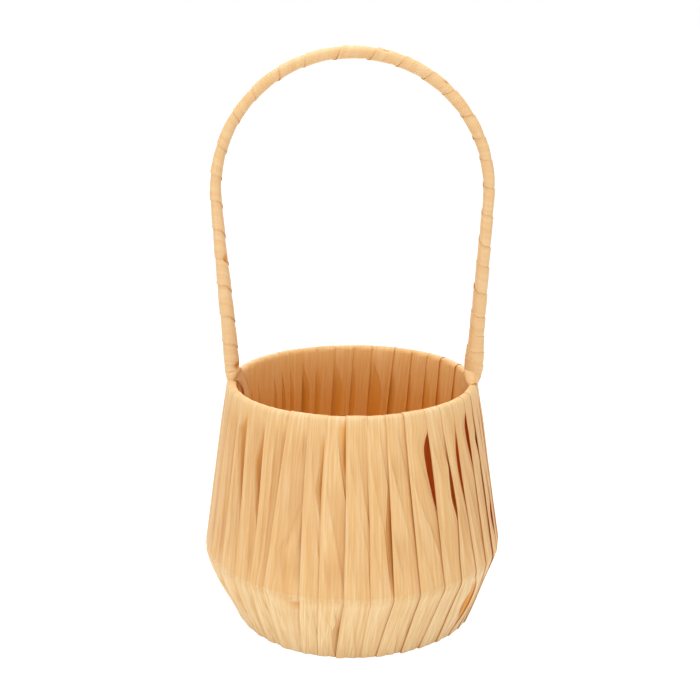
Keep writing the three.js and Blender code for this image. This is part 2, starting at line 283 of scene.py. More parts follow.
# The side that faces the hollow of the wall is painted redder and darker, and glows a little: painted
# glow and painted shade for daylight that comes through the ribbon.
BACK_PALE = (0.75, 0.22, 0.03, 1)
BACK_TAN = (0.6, 0.16, 0.02, 1)
BACK_GLOW = (1, 0.22, 0.02, 1)
BACK_GLOW_STRENGTH = 0.09
ribbon_back = ribbon_material("ribbon_back", BACK_PALE, BACK_TAN, BACK_PALE, BACK_TAN, WALL_RELIEF)
back_shader = ribbon_back.node_tree.nodes["Principled BSDF"]
back_shader.inputs["Emission Color"].default_value = BACK_GLOW
back_shader.inputs["Emission Strength"].default_value = BACK_GLOW_STRENGTH


def wire_ring(node, lift):
    """A ring's centre line radius and height, and how far from it the ribbon lies, from the frame."""
    low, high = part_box(node)
    wire = (high.z - low.z) / 2
    return {"radius": (high.x - low.x) / 2 - wire, "height": (high.z + low.z) / 2, "seat": wire + lift}


# How far the ribbon stays off each wire.
RIM_LIFT = 0.0006
BELLY_LIFT = 0.0007
BASE_LIFT = 0.0009
rim = wire_ring("rim_ring", RIM_LIFT)
belly = wire_ring("belly_ring", BELLY_LIFT)
base = wire_ring("base_ring", BASE_LIFT)
# The film is too stiff to follow the belly wire closely, so it bends over it in a wider curve.
BELLY_SOFT = 0.005
belly["radius"] -= BELLY_SOFT
belly["seat"] += BELLY_SOFT


def panel_direction(start, end):
    """The outward direction of the ribbon's straight run between two rings, in the plane of a wall."""
    rise, run = end["height"] - start["height"], end["radius"] - start["radius"]
    return math.atan2(rise, run) - math.acos((start["seat"] - end["seat"]) / math.hypot(rise, run))


LOWER_OUT = panel_direction(base, belly)
UPPER_OUT = panel_direction(belly, rim)
ROUND = 2 * math.pi
INNER_OUT = panel_direction(rim, base) + ROUND

# The rows of one turn. Each is (ring, ring, share from the first to the second, outward direction,
# the stretch it is on, and how far along that stretch it lies).
rows = []


def add_arc(ring, start, end, stretch, count):
    for step in range(count):
        share = step / count
        rows.append((ring, ring, 0, start + (end - start) * share, stretch, share))


def add_panel(start, end, direction, stretch, count):
    for step in range(count):
        rows.append((start, end, step / count, direction, stretch, step / count))


add_arc(base, INNER_OUT, LOWER_OUT + ROUND, "base", count=10)
add_panel(base, belly, LOWER_OUT, "lower", count=16)
add_arc(belly, LOWER_OUT, UPPER_OUT, "belly", count=7)
add_panel(belly, rim, UPPER_OUT, "upper", count=28)
add_arc(rim, UPPER_OUT, INNER_OUT, "rim", count=12)
add_panel(rim, base, INNER_OUT, "inner", count=24)
ROWS = len(rows)

# Where the near edge of each turn crosses the rim, the belly and the base, in degrees from the front,
# judged one by one. The first twenty are the front, seen from outside; the back is seen inside the rim.
FRONT_RIM = (
    -87, -78, -67, -58, -50.5, -39, -27.5, -18.5, -11, -2.5,
    5.5, 14, 22, 32.5, 40.5, 48.5, 58, 65, 72, 79,
)
FRONT_BELLY = (
    -88, -78, -68, -58, -48, -40, -33.5, -19, -12, -3,
    6.5, 15, 25, 35.5, 44, 53, 61, 69, 76.5, 84,
)
FRONT_BASE = (
    -91, -82, -72, -62, -52, -44, -35, -24, -16, -7.5,
    3.8, 11, 23, 32.5, 42.5, 51, 59, 66, 73.5, 81,
)
BACK_RIM = (
    92, 103, 113, 127, 136.5, 146.5, 157, 169.5, 179.5, 189.5,
    200, 208, 216, 221.5, 227, 233, 240, 247, 254, 262,
)
# At the belly and the base the back's edges lie under those at the rim, give or take, and turned back.
BACK_UNEVEN = 1
BACK_TWIST = 1.5
HALF_TURNS = len(FRONT_RIM)
TURNS = 2 * HALF_TURNS
# At each foot of the handle the turns on its two sides are parted, by this many degrees.
FOOT_GAP_TURNS = (HALF_TURNS - 1, TURNS - 1)
FOOT_PARTING = 4.6
dice = random.Random(SEED)

rim_seams = FRONT_RIM + BACK_RIM + (FRONT_RIM[0] + 360,)
belly_seams = list(FRONT_BELLY)
belly_seams += [place + dice.uniform(-BACK_UNEVEN, BACK_UNEVEN) for place in BACK_RIM]
belly_seams += [FRONT_BELLY[0] + 360]
base_seams = list(FRONT_BASE)
base_seams += [place - BACK_TWIST + dice.uniform(-BACK_UNEVEN, BACK_UNEVEN) for place in BACK_RIM]
base_seams += [FRONT_BASE[0] + 360, FRONT_BASE[1] + 360]


def smooth(value):
    value = min(max(value, 0), 1)
    return value * value * (3 - 2 * value)


def wedge(value, start, peak, end):
    """Nothing at the start and the end, one at the peak, with straight sides."""
    return max(min((value - start) / (peak - start), (end - value) / (end - peak)), 0)


def swell(value, start, peak, end):
    """Nothing at the start and the end, one at the peak."""
    if not start < value < end:
        return 0
    if value < peak:
        return smooth((value - start) / (peak - start))
    return smooth((end - value) / (end - peak))


# How far each turn's edge strays sideways on its way up to the rim, in degrees, and where it does most.
# The one beside the third opening strays further.
wander = [(dice.uniform(-0.6, 0.6), dice.uniform(0.35, 0.65)) for _ in range(TURNS + 2)]
wander[14] = (2.3, 0.45)
# Turns whose edge bows out below the belly, by how many degrees, and how far down the bow ends.
LOW_BOWS = {15: 7.5, 16: 5.5, 17: 3.5, 18: 1.5}
BOW_END = 0.92


def seam_angle(turn, row):
    """The azimuth, in degrees, of the near edge of a turn at a row."""
    share, stretch, along = row[2], row[4], row[5]
    if stretch == "upper":
        amount, middle = wander[turn % TURNS]
        off = amount * swell(along, 0, middle, 1)
        return belly_seams[turn] + (rim_seams[turn] - belly_seams[turn]) * share + off
    if stretch == "lower":
        off = LOW_BOWS.get(turn, 0) * math.sin(math.pi * min((1 - along) / BOW_END, 1))
        return base_seams[turn] + (belly_seams[turn] - base_seams[turn]) * share + off
    if stretch == "base":
        return base_seams[turn]
    if stretch == "belly":
        return belly_seams[turn]
    if stretch == "rim":
        return rim_seams[turn]
    return rim_seams[turn] + (base_seams[turn + 1] - rim_seams[turn]) * share


# Gaps that show the inside of the wall: the turn whose far edge is drawn back, then how far down the
# panel the gap starts, is widest and ends, and its width in metres.
UPPER_GAPS = {
    12: (0.07, 0.21, 0.64, 0.0042),
    14: (0.07, 0.3, 0.66, 0.0022),
    15: (0.03, 0.16, 0.44, 0.0032),
    16: (0.2, 0.25, 0.34, 0.001),
    17: (0.68, 0.78, 0.93, 0.0028),
}
# Two more openings are only folds so deep that the ribbon's far side lies well under its neighbours: the
# same three places, the share of the width folded in, its depth, and how dark the painted shade on its
# two sides is. Each also gets painted orange glow.
UPPER_POCKETS = {13: (0.1, 0.5, 0.72, 0.26, 0.0018, 0.9, 0.9)}
LOWER_POCKETS = {14: (-0.02, 0.5, 1, 0.5, 0.0012, 1.2, 0.12)}
# Turns whose far side is folded in deep beside the next turn: the same three places, the share of the
# width folded in, how dark its painted shade is (past one with a sharp edge, below zero lighter), and
# where most so. Where dark, each also gets painted orange glow.
UPPER_FOLDS = {
    3: (0.01, 0.14, 0.74, 0.55, 1.3, 0.55),
    4: (0.06, 0.3, 0.68, 0.34, 1.3, 0.48),
    6: (0.42, 0.75, 1.4, 0.42, -0.6, 0.75),
    7: (0.05, 0.38, 0.56, 0.32, 0.6, 0.38),
    8: (-0.04, 0.15, 0.34, 0.2, 0.6, 0.2),
    10: (0.3, 0.6, 1.1, 0.2, 0.4, 0.6),
}
LOWER_FOLDS = {
    2: (-0.1, 0.3, 0.9, 0.4, 0.5, 0.3),
    3: (-0.1, 0.35, 0.8, 0.4, 0.5, 0.35),
    4: (-0.1, 0.4, 1.1, 0.35, 0.3, 0.4),
    6: (-0.02, 0.06, 0.2, 0.06, 0.5, 0.06),
    8: (0.2, 0.5, 1.1, 0.25, 0.3, 0.5),
    16: (0.05, 0.4, 0.9, 0.3, 0.4, 0.4),
}
# Turns whose seam lies in deep shade, with the same three places and how strong the shade is.
SEAM_SHADES = {
    5: (0.1, 0.3, 0.6, 0.6),
    6: (0.4, 0.6, 1, 0.9),
    7: (0.2, 0.4, 0.5, 0.8),
    8: (0.1, 0.2, 0.35, 0.7),
    9: (0.05, 0.5, 1.05, 0.9),
    10: (0.4, 0.65, 1.05, 0.7),
    11: (0.1, 0.45, 1.05, 1),
    12: (0.5, 0.7, 1, 0.7),
}
OTHER_SEAMS = (0, 0.4, 1.2, 0.55)
RIM_SEAM_SHADE = 0.45
LOWER_SEAM_SHADE = 0.28
# How slantwise the creases of a front turn run: along the ribbon on the left, across it further right.
FRONT_SLANTS = (0.2, 0.2, 0.25, 0.3, 0.3, 0.25, 0.35, 0.7) + (1,) * 7 + (0.75,) * 5
FLATTER_TURNS = range(15, HALF_TURNS)
FLATTER = 0.6
# Where on the width the creases may lie, how far apart they start and may come, and how they waver.
CREASE_FIRST = 0.03
CREASE_LAST = 0.93
CREASES_APART = 0.1
CREASES_NEAREST = 0.09
CREASE_WAVER = 0.012


class Pleats:
    """The folds of one turn on one stretch: three creases that run down it, more or less slantwise.

    Slantwise, the first starts at the near edge low down, the second at the near edge higher up, and
    the third in the middle at the top; each drifts towards the far edge."""

    def __init__(self, turn, deep, slant):
        self.slant = slant
        self.start = (dice.uniform(0.45, 0.7), dice.uniform(0.08, 0.36), dice.uniform(-0.5, -0.3))
        self.drift = (dice.uniform(0.8, 1.1), dice.uniform(1.1, 1.5), dice.uniform(0.8, 1.1))
        self.rest = (dice.uniform(0.18, 0.3), dice.uniform(0.42, 0.56), dice.uniform(0.7, 0.82))
        flatter = FLATTER if turn in FLATTER_TURNS else 1
        least = 0.5 if slant > 0.5 else 0
        self.depth = tuple(deep * flatter * dice.uniform(least, 1) for _ in range(3))
        self.wiggle = dice.uniform(0, ROUND)

    def creases(self, down):
        places = []
        least = CREASE_FIRST
        for start, drift, rest in zip(self.start, self.drift, self.rest):
            slanted = drift * (down - start)
            place = rest + (slanted - rest) * self.slant + CREASE_WAVER * math.sin(self.wiggle + 9 * down)
            place = min(max(place, least), CREASE_LAST)
            places.append(place)
            least = place + CREASES_APART
        for number in (1, 0):
            places[number] = min(places[number], places[number + 1] - CREASES_NEAREST)
        return places

    def live(self, down):
        """How much of its depth each crease has: slantwise ones have none before they start."""
        return [
            (1 - self.slant * (1 - smooth((down - start) / 0.16)))
            * (0.7 + 0.3 * math.sin(self.wiggle + 2 * number + 6 * down))
            for number, start in enumerate(self.start)
        ]


def slant_of(turn):
    return FRONT_SLANTS[turn] if turn < HALF_TURNS else dice.uniform(0.2, 0.9)


# How deep the creases are above and below the belly, and how slantwise they run below it.
UPPER_PLEAT = 0.001
LOWER_PLEAT = 0.0008
LOW_SLANTS = (0.8,) * 9 + (0.3,) * (TURNS - 9)
outer_pleats = [Pleats(turn, UPPER_PLEAT, slant_of(turn)) for turn in range(TURNS)]
lower_pleats = [Pleats(turn, LOWER_PLEAT, LOW_SLANTS[turn]) for turn in range(TURNS)]
# Inside, each turn narrows on its way down: by how much, how dark the painted shade on its far edge and
# its seam is, how deep the fold beside it is, and where its own creases lie. The back's own, seen in
# the picture, are judged from it.
INNER_REACH = {
    24: 0.25, 25: 0.35, 26: 0.6, 27: 0.3, 28: 0.55, 29: 0.35, 30: 0.6, 31: 0.4, 32: 0.5, 33: 0.5,
}
INNER_DARK = {
    24: 0.3, 25: 0.7, 26: 0.25, 27: 0.35, 28: 0.45, 29: 0.5, 30: 0.9, 31: 0.55, 32: 0.9, 33: 0.7,
    34: 0.5,
}
INNER_SEAMS = {20: 0.1, 21: 0.15, 22: 0.3, 27: 0.6, 28: 0.6, 30: 1, 31: 0.6, 32: 1}
OTHER_INNER_DARK = 0.25
OTHER_INNER_SEAM = 0.4
INNER_CREASE = 0.0004
inner_folds = [
    (
        INNER_REACH.get(turn, dice.uniform(0.15, 0.5)),
        dice.uniform(0.0004, 0.0009),
        dice.uniform(0.15, 0.4),
    )
    for turn in range(TURNS)
]
CREASE_STEP = 0.05


def nodes_from(places):
    nodes = [0]
    for place in places:
        nodes += [place, place + CREASE_STEP]
    return nodes + [1]


def inner_places(turn, along):
    reach, _, middle = inner_folds[turn]
    edge = 0.94 - reach * smooth(along / 0.22 + 0.08)
    return [middle * edge * 0.5, middle * edge * 0.5 + 0.22 * edge, edge]


# How far the near edge of a turn stands out over the ribbon's seat on each stretch, how far its far edge
# lies under it, and how much the ribbon may fall towards that edge, or rise after its last crease.
PROUD_RIM = 0.0003
PROUD_UPPER = 0.0007
PROUD_BELLY = 0.00065
PROUD_LOWER = 0.0006
PROUD_INNER = 0.0008
TUCKED = 0.0002
EDGE_FALL = 0.0006
EDGE_RISE = 0.0003


def between(low_places, high_places, share):
    return [low + (high - low) * share for low, high in zip(low_places, high_places)]


def creases_of(turn, row):
    """Where a turn's creases lie at a row, how sharp and deep each is, and how proud the near edge is."""
    stretch, along = row[4], row[5]
    down = 1 - along
    upper, lower = outer_pleats[turn], lower_pleats[turn]
    if stretch == "upper":
        strength = smooth((down - 0.02) / 0.12) * (1 - 0.7 * smooth((down - 0.85) / 0.15))
        proud = PROUD_RIM + (PROUD_UPPER - PROUD_RIM) * smooth(down / 0.25)
        sharp = [strength * live for live in upper.live(down)]
        return upper.creases(down), sharp, upper.depth, proud
    if stretch in ("lower", "base"):
        if stretch == "base":
            down, strength = 1, smooth(along)
        else:
            strength = 0.3 + 0.7 * smooth(down / 0.25)
        sharp = [strength * live for live in lower.live(down)]
        return lower.creases(down), sharp, lower.depth, PROUD_LOWER
    if stretch == "belly":
        return between(lower.creases(0), upper.creases(1), along), (0.3,) * 3, upper.depth, PROUD_BELLY
    if stretch == "rim":
        return between(upper.creases(0), inner_places(turn, 0), along), (0,) * 3, (0,) * 3, PROUD_RIM
    strength = smooth((along - 0.01) / 0.1) * (1 - smooth((along - 0.9) / 0.1))
    sharp = [strength * live for live in (0.6, 0.7, 1)]
    proud = PROUD_RIM + (PROUD_INNER - PROUD_RIM) * smooth(along / 0.2)
    return inner_places(turn, along), sharp, (INNER_CREASE, INNER_CREASE, inner_folds[turn][1]), proud


def pocket_of(turn, row):
    """How far open a pocket is at a row, its share of the width, its depth, and its sides' shades."""
    pockets = {"upper": UPPER_POCKETS, "lower": LOWER_POCKETS}.get(row[4], {})
    if turn not in pockets:
        return 0, 0, 0, 0, 0
    return (swell(1 - row[5], *pockets[turn][:3]),) + pockets[turn][3:]


def deep_fold_of(turn, row):
    """At a row, how far the far side reaches in where it is tucked deep, its share of the width, how sunk
    it is, and its painted shade.
    """
    folds = {"upper": UPPER_FOLDS, "lower": LOWER_FOLDS}.get(row[4], {})
    if turn not in folds:
        return 0, 0, 0, 0
    start, peak, end, share, dark, darkest = folds[turn]
    sink = wedge(1 - row[5], start, darkest, end)
    return wedge(1 - row[5], start, peak, end), share, sink, dark * sink


# How much painted orange glow each stretch has throughout, rising over the rim and inside it; the least
# painted shade it has; and how much painted shade the ribbon gains past each crease, seen from the near
# edge, where it is lightest.
TINTS = {"base": 0, "lower": 0, "belly": 0.05, "upper": 0.19, "rim": 0.05, "inner": 0.44}
TINT_RISES = {"rim": (0.38, 0.3, 0.7), "inner": (0.25, 0, 0.3)}
SHADES = {"base": 0, "lower": 0, "upper": 0.17, "rim": 0.18, "inner": 0.02}
# The back of the rim gets at least this much painted shade over its top.
BACK_RIM_SHADE = 0.3
DARKER = {"base": 0.1, "lower": 0.12, "belly": 0.14, "upper": 0.28}
DEEP_FOLD = 0.0014
# A deep fold pushes the three creases back by these shares of its reach, to these places at the least.
FOLD_PUSHES = (1.6, 1.3, 1)
FOLD_LEASTS = (0.03, 0.13, 0.23)
# Under the laps of the left foot a painted shadow darkens the ribbon inside this much, on the first turn
# and, from this place on, on the last one.
LAP_GLOOM = 1.8
LAP_GLOOM_FROM = {0: 0, TURNS - 1: 5}


def least_shade(turn, row):
    stretch, along = row[4], row[5]
    if stretch == "belly":
        return SHADES["lower"] + (SHADES["upper"] - SHADES["lower"]) * along
    if stretch != "rim":
        return SHADES[stretch]
    least = SHADES["upper"] + (SHADES["rim"] - SHADES["upper"]) * smooth(along / 0.4)
    least *= 1 - smooth((along - 0.75) / 0.25)
    return max(least, BACK_RIM_SHADE * swell(along, 0, 0.5, 1.1)) if turn >= HALF_TURNS else least


def profile(turn, row):
    """Crease places across the ribbon, their heights over its seat, and the painted glow and painted
    shade of each.
    """
    stretch, along = row[4], row[5]
    places, sharp, depths, proud = creases_of(turn, row)
    sunk, sunk_share, sunk_depth, near_dark, far_dark = pocket_of(turn, row)
    deep, deep_share, sink, gloom = deep_fold_of(turn, row)
    inward = max(sunk_share * sunk, deep_share * deep + 0.1 * min(4 * deep, 1))
    if inward:
        pushes = zip(places, FOLD_PUSHES, FOLD_LEASTS)
        most = 1 - CREASE_STEP
        places = [max(min(place, most - inward * push), least) for place, push, least in pushes]
    heights, shaded = [proud], [0]
    dark = 0
    for place, fall, depth in zip(places, sharp, depths):
        cap = proud - TUCKED - EDGE_FALL * smooth((place - 0.8) / 0.12)
        ridge = min(proud * (1 - place) + 0.35 * depth * fall, cap)
        heights += [ridge, ridge - depth * fall]
        shaded += [0.8 * dark, dark + (DARKER.get(stretch, 0) + 0.04) * fall]
        dark += DARKER.get(stretch, 0) * fall
    heights[-1] -= 0.15 * DEEP_FOLD * sink + sunk_depth * sunk
    far = min(heights[-1] + EDGE_RISE, -TUCKED) - DEEP_FOLD * sink - 0.4 * sunk_depth * sunk
    heights.append(-TUCKED if sunk and stretch == "lower" else far)
    shaded.append(dark + 0.7 * gloom)
    rise, start, length = TINT_RISES.get(stretch, (0, 0, 1))
    tint = TINTS[stretch] + rise * smooth((along - start) / length)
    toned_and_glowed = [tint] * len(heights)
    # Of the eight places across the ribbon, 6 is just past the last crease, and 7 is the far edge.
    if stretch == "inner":
        into = smooth(along / 0.16)
        toned_and_glowed[6] = toned_and_glowed[7] = tint + 0.2 * into
        shaded[6] = 0.08 * into
        shaded[7] = INNER_DARK.get(turn, OTHER_INNER_DARK) * into
        if turn in LAP_GLOOM_FROM:
            first = LAP_GLOOM_FROM[turn]
            lap_dark = LAP_GLOOM * swell(along, -0.06, 0.06, 0.24)
            shaded[first:] = [max(value, lap_dark) for value in shaded[first:]]
    elif deep or sunk:
        gold = 0.8 * min(3 * deep, 1) if stretch == "upper" and gloom > 0 else 0
        orange = max(min(gloom, 1), gold)
        toned_and_glowed[6] = max(tint, 0.3 * orange, sunk)
        toned_and_glowed[7] = max(tint, orange, sunk)
        shaded[6] = max(shaded[6] + min(gloom, 0), near_dark * sunk)
        shaded[7] = far_dark * sunk if sunk else max(shaded[7], 0)
        if sunk and stretch == "lower":
            shaded[6] = near_dark * sunk
    least = least_shade(turn, row)
    return nodes_from(places), heights, toned_and_glowed, [max(least + (1 - least) * dim, 0) for dim in shaded]


def seam_shade(turn, row):
    if row[4] == "upper":
        start, peak, end, strength = SEAM_SHADES.get(turn, OTHER_SEAMS)
        return strength * swell(1 - row[5], start, peak, end)
    if row[4] == "inner":
        return INNER_SEAMS.get(turn, OTHER_INNER_SEAM) * smooth(row[5] / 0.2)
    return RIM_SEAM_SHADE if row[4] == "rim" else LOWER_SEAM_SHADE


FACET_SHARES = (0, 0.25, 0.5, 0.75)
STEP_SHARES = (0, 0.5)
# Each flat part between two creases is a little full, by this share of its width.
FULLNESS = {"upper": 0.045, "lower": 0.04, "belly": 0.03, "rim": 0.01, "base": 0.02, "inner": 0.03}
TURN_WIDTH = 0.0145
# The painted glow and painted shade of the part past the last crease are full by this share of it,
# sooner in a steep fold.
FULL_BY = 0.6
STEEP_FULL_BY = 0.3
# A seam's shade starts this far across the ribbon, above the belly sooner from one turn on, and is full
# before the next turn laps over it.
SEAM_START = 0.8
WIDE_SEAM_START = 0.72
WIDE_SEAMS_FROM = 9
SEAM_FULL = 0.9


def across(turn, row):
    """The ribbon's columns at a row: (place across, height, painted glow, painted shade)."""
    nodes, heights, toned_and_glowed, shaded = profile(turn, row)
    upper = row[4] == "upper"
    steep = upper and turn in UPPER_FOLDS and UPPER_FOLDS[turn][4] > 1
    full_by = STEEP_FULL_BY if steep else FULL_BY
    seam = 0 if pocket_of(turn, row)[0] else seam_shade(turn, row)
    seam_start = WIDE_SEAM_START if upper and turn >= WIDE_SEAMS_FROM else SEAM_START
    columns = []
    last = len(nodes) - 2
    for part in range(last + 1):
        facet = part % 2 == 0
        width = nodes[part + 1] - nodes[part]
        for share in FACET_SHARES if facet else STEP_SHARES:
            place = nodes[part] + width * share
            height = heights[part] + (heights[part + 1] - heights[part]) * share
            if facet:
                clear = 1 - smooth((place - 0.7) / 0.2)
                full = math.sin(math.pi * share**0.75) * clear
                height += FULLNESS[row[4]] * width * TURN_WIDTH * full
            tint = min(share / full_by, 1) if part == last else share
            orange = toned_and_glowed[part] + (toned_and_glowed[part + 1] - toned_and_glowed[part]) * tint
            dark = shaded[part] + (shaded[part + 1] - shaded[part]) * tint
            seam_dark = seam * smooth((place - seam_start) / (SEAM_FULL - seam_start))
            columns.append((place, height, orange, max(dark, seam_dark)))
    columns.append((nodes[-1], heights[-1], toned_and_glowed[-1], max(shaded[-1], seam)))
    return columns


COLUMNS = 4 * len(FACET_SHARES) + 3 * len(STEP_SHARES)
OVERLAP = 0.0015


def drawn_back(turn, row):
    """How far a turn's far edge passes under the next turn, or stops short of it where negative."""
    stretch, along = row[4], row[5]
    if stretch != "upper" or turn not in UPPER_GAPS:
        return OVERLAP
    start, peak, end, width = UPPER_GAPS[turn]
    down = 1 - along
    open_share = min((down - start) / (peak - start), (end - down) / (end - peak))
    return OVERLAP - (OVERLAP + width) * math.sin(math.pi / 2 * min(max(open_share, 0), 1))


# At both sides the ribbon hangs out a little below the belly ring, and more so on the right.
SIDE_SAG = 0.002
RIGHT_SAG = 0.0026


def side_sag(stretch, along, angle):
    if stretch not in ("base", "lower", "belly"):
        return 0
    high = {"base": 0, "lower": swell(along, 0, 0.75, 1.3), "belly": 0.52 * (1 - along)}[stretch]
    sag = high * SIDE_SAG
    if math.sin(angle) > 0:
        low = {"base": smooth(along), "lower": 1 - smooth(along / 0.8), "belly": 0}[stretch]
        sag = 0.3 * sag + RIGHT_SAG * low
    return sag * smooth((abs(math.sin(angle)) - 0.45) / 0.5)


LIFT_MOST = 0.0004
lifts = [dice.uniform(0, LIFT_MOST) for _ in range(TURNS)]
# Underneath, the ribbon is flattened on what the basket stands on, its far edge under the next turn's.
GROUND = 0.0001
FAR_EDGE_RAISED = 0.0003


def place_on_wall(turn, row, column):
    first, second, share, direction, stretch, along = row
    across_share, height = column[:2]
    seat = first["seat"] + (second["seat"] - first["seat"]) * share
    centre = first["radius"] + (second["radius"] - first["radius"]) * share
    level = first["height"] + (second["height"] - first["height"]) * share
    offset = seat + height + RIBBON_LAYER + lifts[turn]
    radius = centre + math.cos(direction) * offset
    near = seam_angle(turn, row)
    far = seam_angle(turn + 1, row)
    if turn in FOOT_GAP_TURNS:
        parted = {"rim": 1, "upper": along**6, "inner": 1 - smooth(along / 0.25)}
        far -= FOOT_PARTING * parted.get(stretch, 0)
    far += math.degrees(drawn_back(turn, row) / radius)
    angle = math.radians(near + (far - near) * across_share)
    radius += side_sag(stretch, along, angle)
    lowest = GROUND + (FAR_EDGE_RAISED if across_share > 0.85 else 0)
    z = max(level + math.sin(direction) * offset, lowest)
    return (radius * math.sin(angle), -radius * math.cos(angle), z)


def ribbon_grid(name, columns, steps, laid):
    """A flat grid laid out as ribbon. For a place across and along it, laid gives the point in space,
    its orange tone and painted glow, its painted shade, and the place on the flat ribbon in metres."""
    bpy.ops.object.select_all(action="DESELECT")
    bpy.ops.mesh.primitive_grid_add(x_subdivisions=columns, y_subdivisions=steps, size=1)
    ribbon = bpy.context.object
    ribbon.name = name
    mesh = ribbon.data
    tone_and_glow = mesh.attributes.new("tone_and_glow", "FLOAT", "POINT")
    shade = mesh.attributes.new("shade", "FLOAT", "POINT")
    mesh.uv_layers[0].name = "ribbon"
    flat = []
    for vertex in mesh.vertices:
        point, toned_and_glowed, shaded, place = laid(vertex.co.x + 0.5, vertex.co.y + 0.5)
        vertex.co = point
        tone_and_glow.data[vertex.index].value = toned_and_glowed
        shade.data[vertex.index].value = shaded
        flat.append(place)
    uvs = mesh.uv_layers[0].data
    for loop in mesh.loops:
        uvs[loop.index].uv = flat[loop.vertex_index]
    return ribbon


def finish_ribbon(ribbon, face, back, smooth_angle):
    """Gives a ribbon its two faces, its thickness and its shading, and hangs it in the frame."""
    ribbon.data.materials.append(face)
    ribbon.data.materials.append(back)
    thick = ribbon.modifiers.new("layer", "SOLIDIFY")
    thick.thickness = RIBBON_LAYER
    thick.offset = -1
    thick.use_even_offset = False
    thick.material_offset = 1
    bpy.ops.object.modifier_apply(modifier=thick.name)
    bpy.ops.object.shade_smooth_by_angle(angle=math.radians(smooth_angle))
    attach(ribbon, "root")


WALL_SMOOTH = 38


def wall_ribbon(name, first_turn):
    """One length of ribbon, wound turn by turn, which starts and ends at the base ring."""
    total = HALF_TURNS * ROWS
    laid = {}
    run = 0
    last = None
    for step in range(total + 1):
        turn, index = divmod(min(step, total - 1), ROWS)
        turn += first_turn
        row = rows[index] if step < total else (rim, base, 1, INNER_OUT, "inner", 1)
        columns = across(turn, row)
        line = [place_on_wall(turn, row, column) for column in columns]
        middle = line[COLUMNS // 2]
        if last:
            run += math.dist(middle, last)
        last = middle
        for number, (place, _, orange, dark) in enumerate(columns):
            laid[number, step] = (line[number], orange, dark, (place * TURN_WIDTH, run))
    ribbon = ribbon_grid(
        name, COLUMNS, total, lambda over, along: laid[round(over * COLUMNS), round(along * total)]
    )
    finish_ribbon(ribbon, ribbon_face, ribbon_back, WALL_SMOOTH)
    return ribbon


wall_front = wall_ribbon("wall_front", 0)
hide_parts("wall_ribbon_front")
wall_back = wall_ribbon("wall_back", HALF_TURNS)
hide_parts("wall_ribbon_back")


# Handle wrap. The same ribbon wound round the bent rod from the left foot to the right one. Each new
# turn laps over the edge of the last, so its lower edge stands out a little on the left leg.
core_low, core_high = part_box("handle_core")
CORE_RADIUS = (core_high.y - core_low.y) / 2
ARCH_RADIUS = (core_high.x - core_low.x) / 2 - CORE_RADIUS
ARCH_HEIGHT = core_high.z - ARCH_RADIUS - CORE_RADIUS
FOOT_HEIGHT = core_low.z
# Where each turn's edge crosses the outer side of the rod, in millimetres from the left foot.
WRAP_SEAMS = (
    0, 4, 10, 24, 41, 59, 75, 92, 108, 124, 140, 160, 176, 194, 210, 230, 249, 265, 282, 297, 314, 327,
    340, 356, 372, 389, 401, 417, 431, 443, 452, 461,
)
WRAP_STEPS = 26
WRAP_COLUMNS = 16
WRAP_LAP = 0.0016
WRAP_PROUD = 0.0005
# How thick the wrap is, how much thicker near each foot, at the crown and just over the right foot, and
# how far it is pinched in at its ends. Near the left foot it also lies a little off the rod's middle.
WRAP_RADIUS = 0.0034
WRAP_AT_LEFT_FOOT = 0.0012
WRAP_AT_RIGHT_FOOT = 0.0014
WRAP_FOOT_LENGTH = 0.13
WRAP_AT_CROWN = 0.0004
WRAP_CROWN = (0.36, 0.54, 0.72)
WRAP_SWELLING = 0.0011
WRAP_SWOLLEN = (-0.01, 0.01, 0.03)
WRAP_END = 0.86
WRAP_END_LENGTH = 0.006
WRAP_ASIDE = 0.0008
WRAP_ASIDE_LENGTH = 0.09
# How unevenly the turns lie, how much an edge curls up, at the least and by chance, over how much of the
# width, and how full a turn is in its middle.
WRAP_UNEVEN = 0.0005
WRAP_CURL = (0.0001, 0.0002)
WRAP_CURL_WIDTH = 0.12
WRAP_FULLNESS = 0.0002
# Even orange and darker tone of the wrap, then the painted shade along each turn's edge: its strength,
# start and rise.
WRAP_TINT = 0.13
WRAP_SHADE = 0.2
WRAP_SEAM_SHADE = 0.6
WRAP_SEAM_START = 0.87
WRAP_SEAM_RISE = 0.05
WRAP_STREAK = (0.88, 0.6, 0.3, 1)
WRAP_ROUGHNESS = 0.38
WRAP_RELIEF = 0.25
WRAP_SMOOTH = 50
# The fibres on the handle look coarser: drawn for a ribbon of this width, and this much longer.
WRAP_DRAWN_WIDTH = 0.008
WRAP_DRAWN_LONGER = 1.6

wrap_face = ribbon_material(
    "wrap_face", RIBBON_CREAM, WRAP_STREAK, RIBBON_TONE_AND_GLOW, RIBBON_SHADE, WRAP_RELIEF
)
wrap_face.node_tree.nodes["Principled BSDF"].inputs["Roughness"].default_value = WRAP_ROUGHNESS
foot_drop = ARCH_HEIGHT - FOOT_HEIGHT
foot_distance = math.hypot(rim["radius"], foot_drop)
leg_length = math.sqrt(foot_distance**2 - ARCH_RADIUS**2)
arch_start = math.acos(ARCH_RADIUS / foot_distance) - math.atan2(foot_drop, rim["radius"])
arch_length = ARCH_RADIUS * (math.pi - 2 * arch_start)
handle_length = 2 * leg_length + arch_length
wrap_turns = len(WRAP_SEAMS)
wrap_edges = [0] + [seam / 1000 for seam in WRAP_SEAMS] + [handle_length, handle_length]


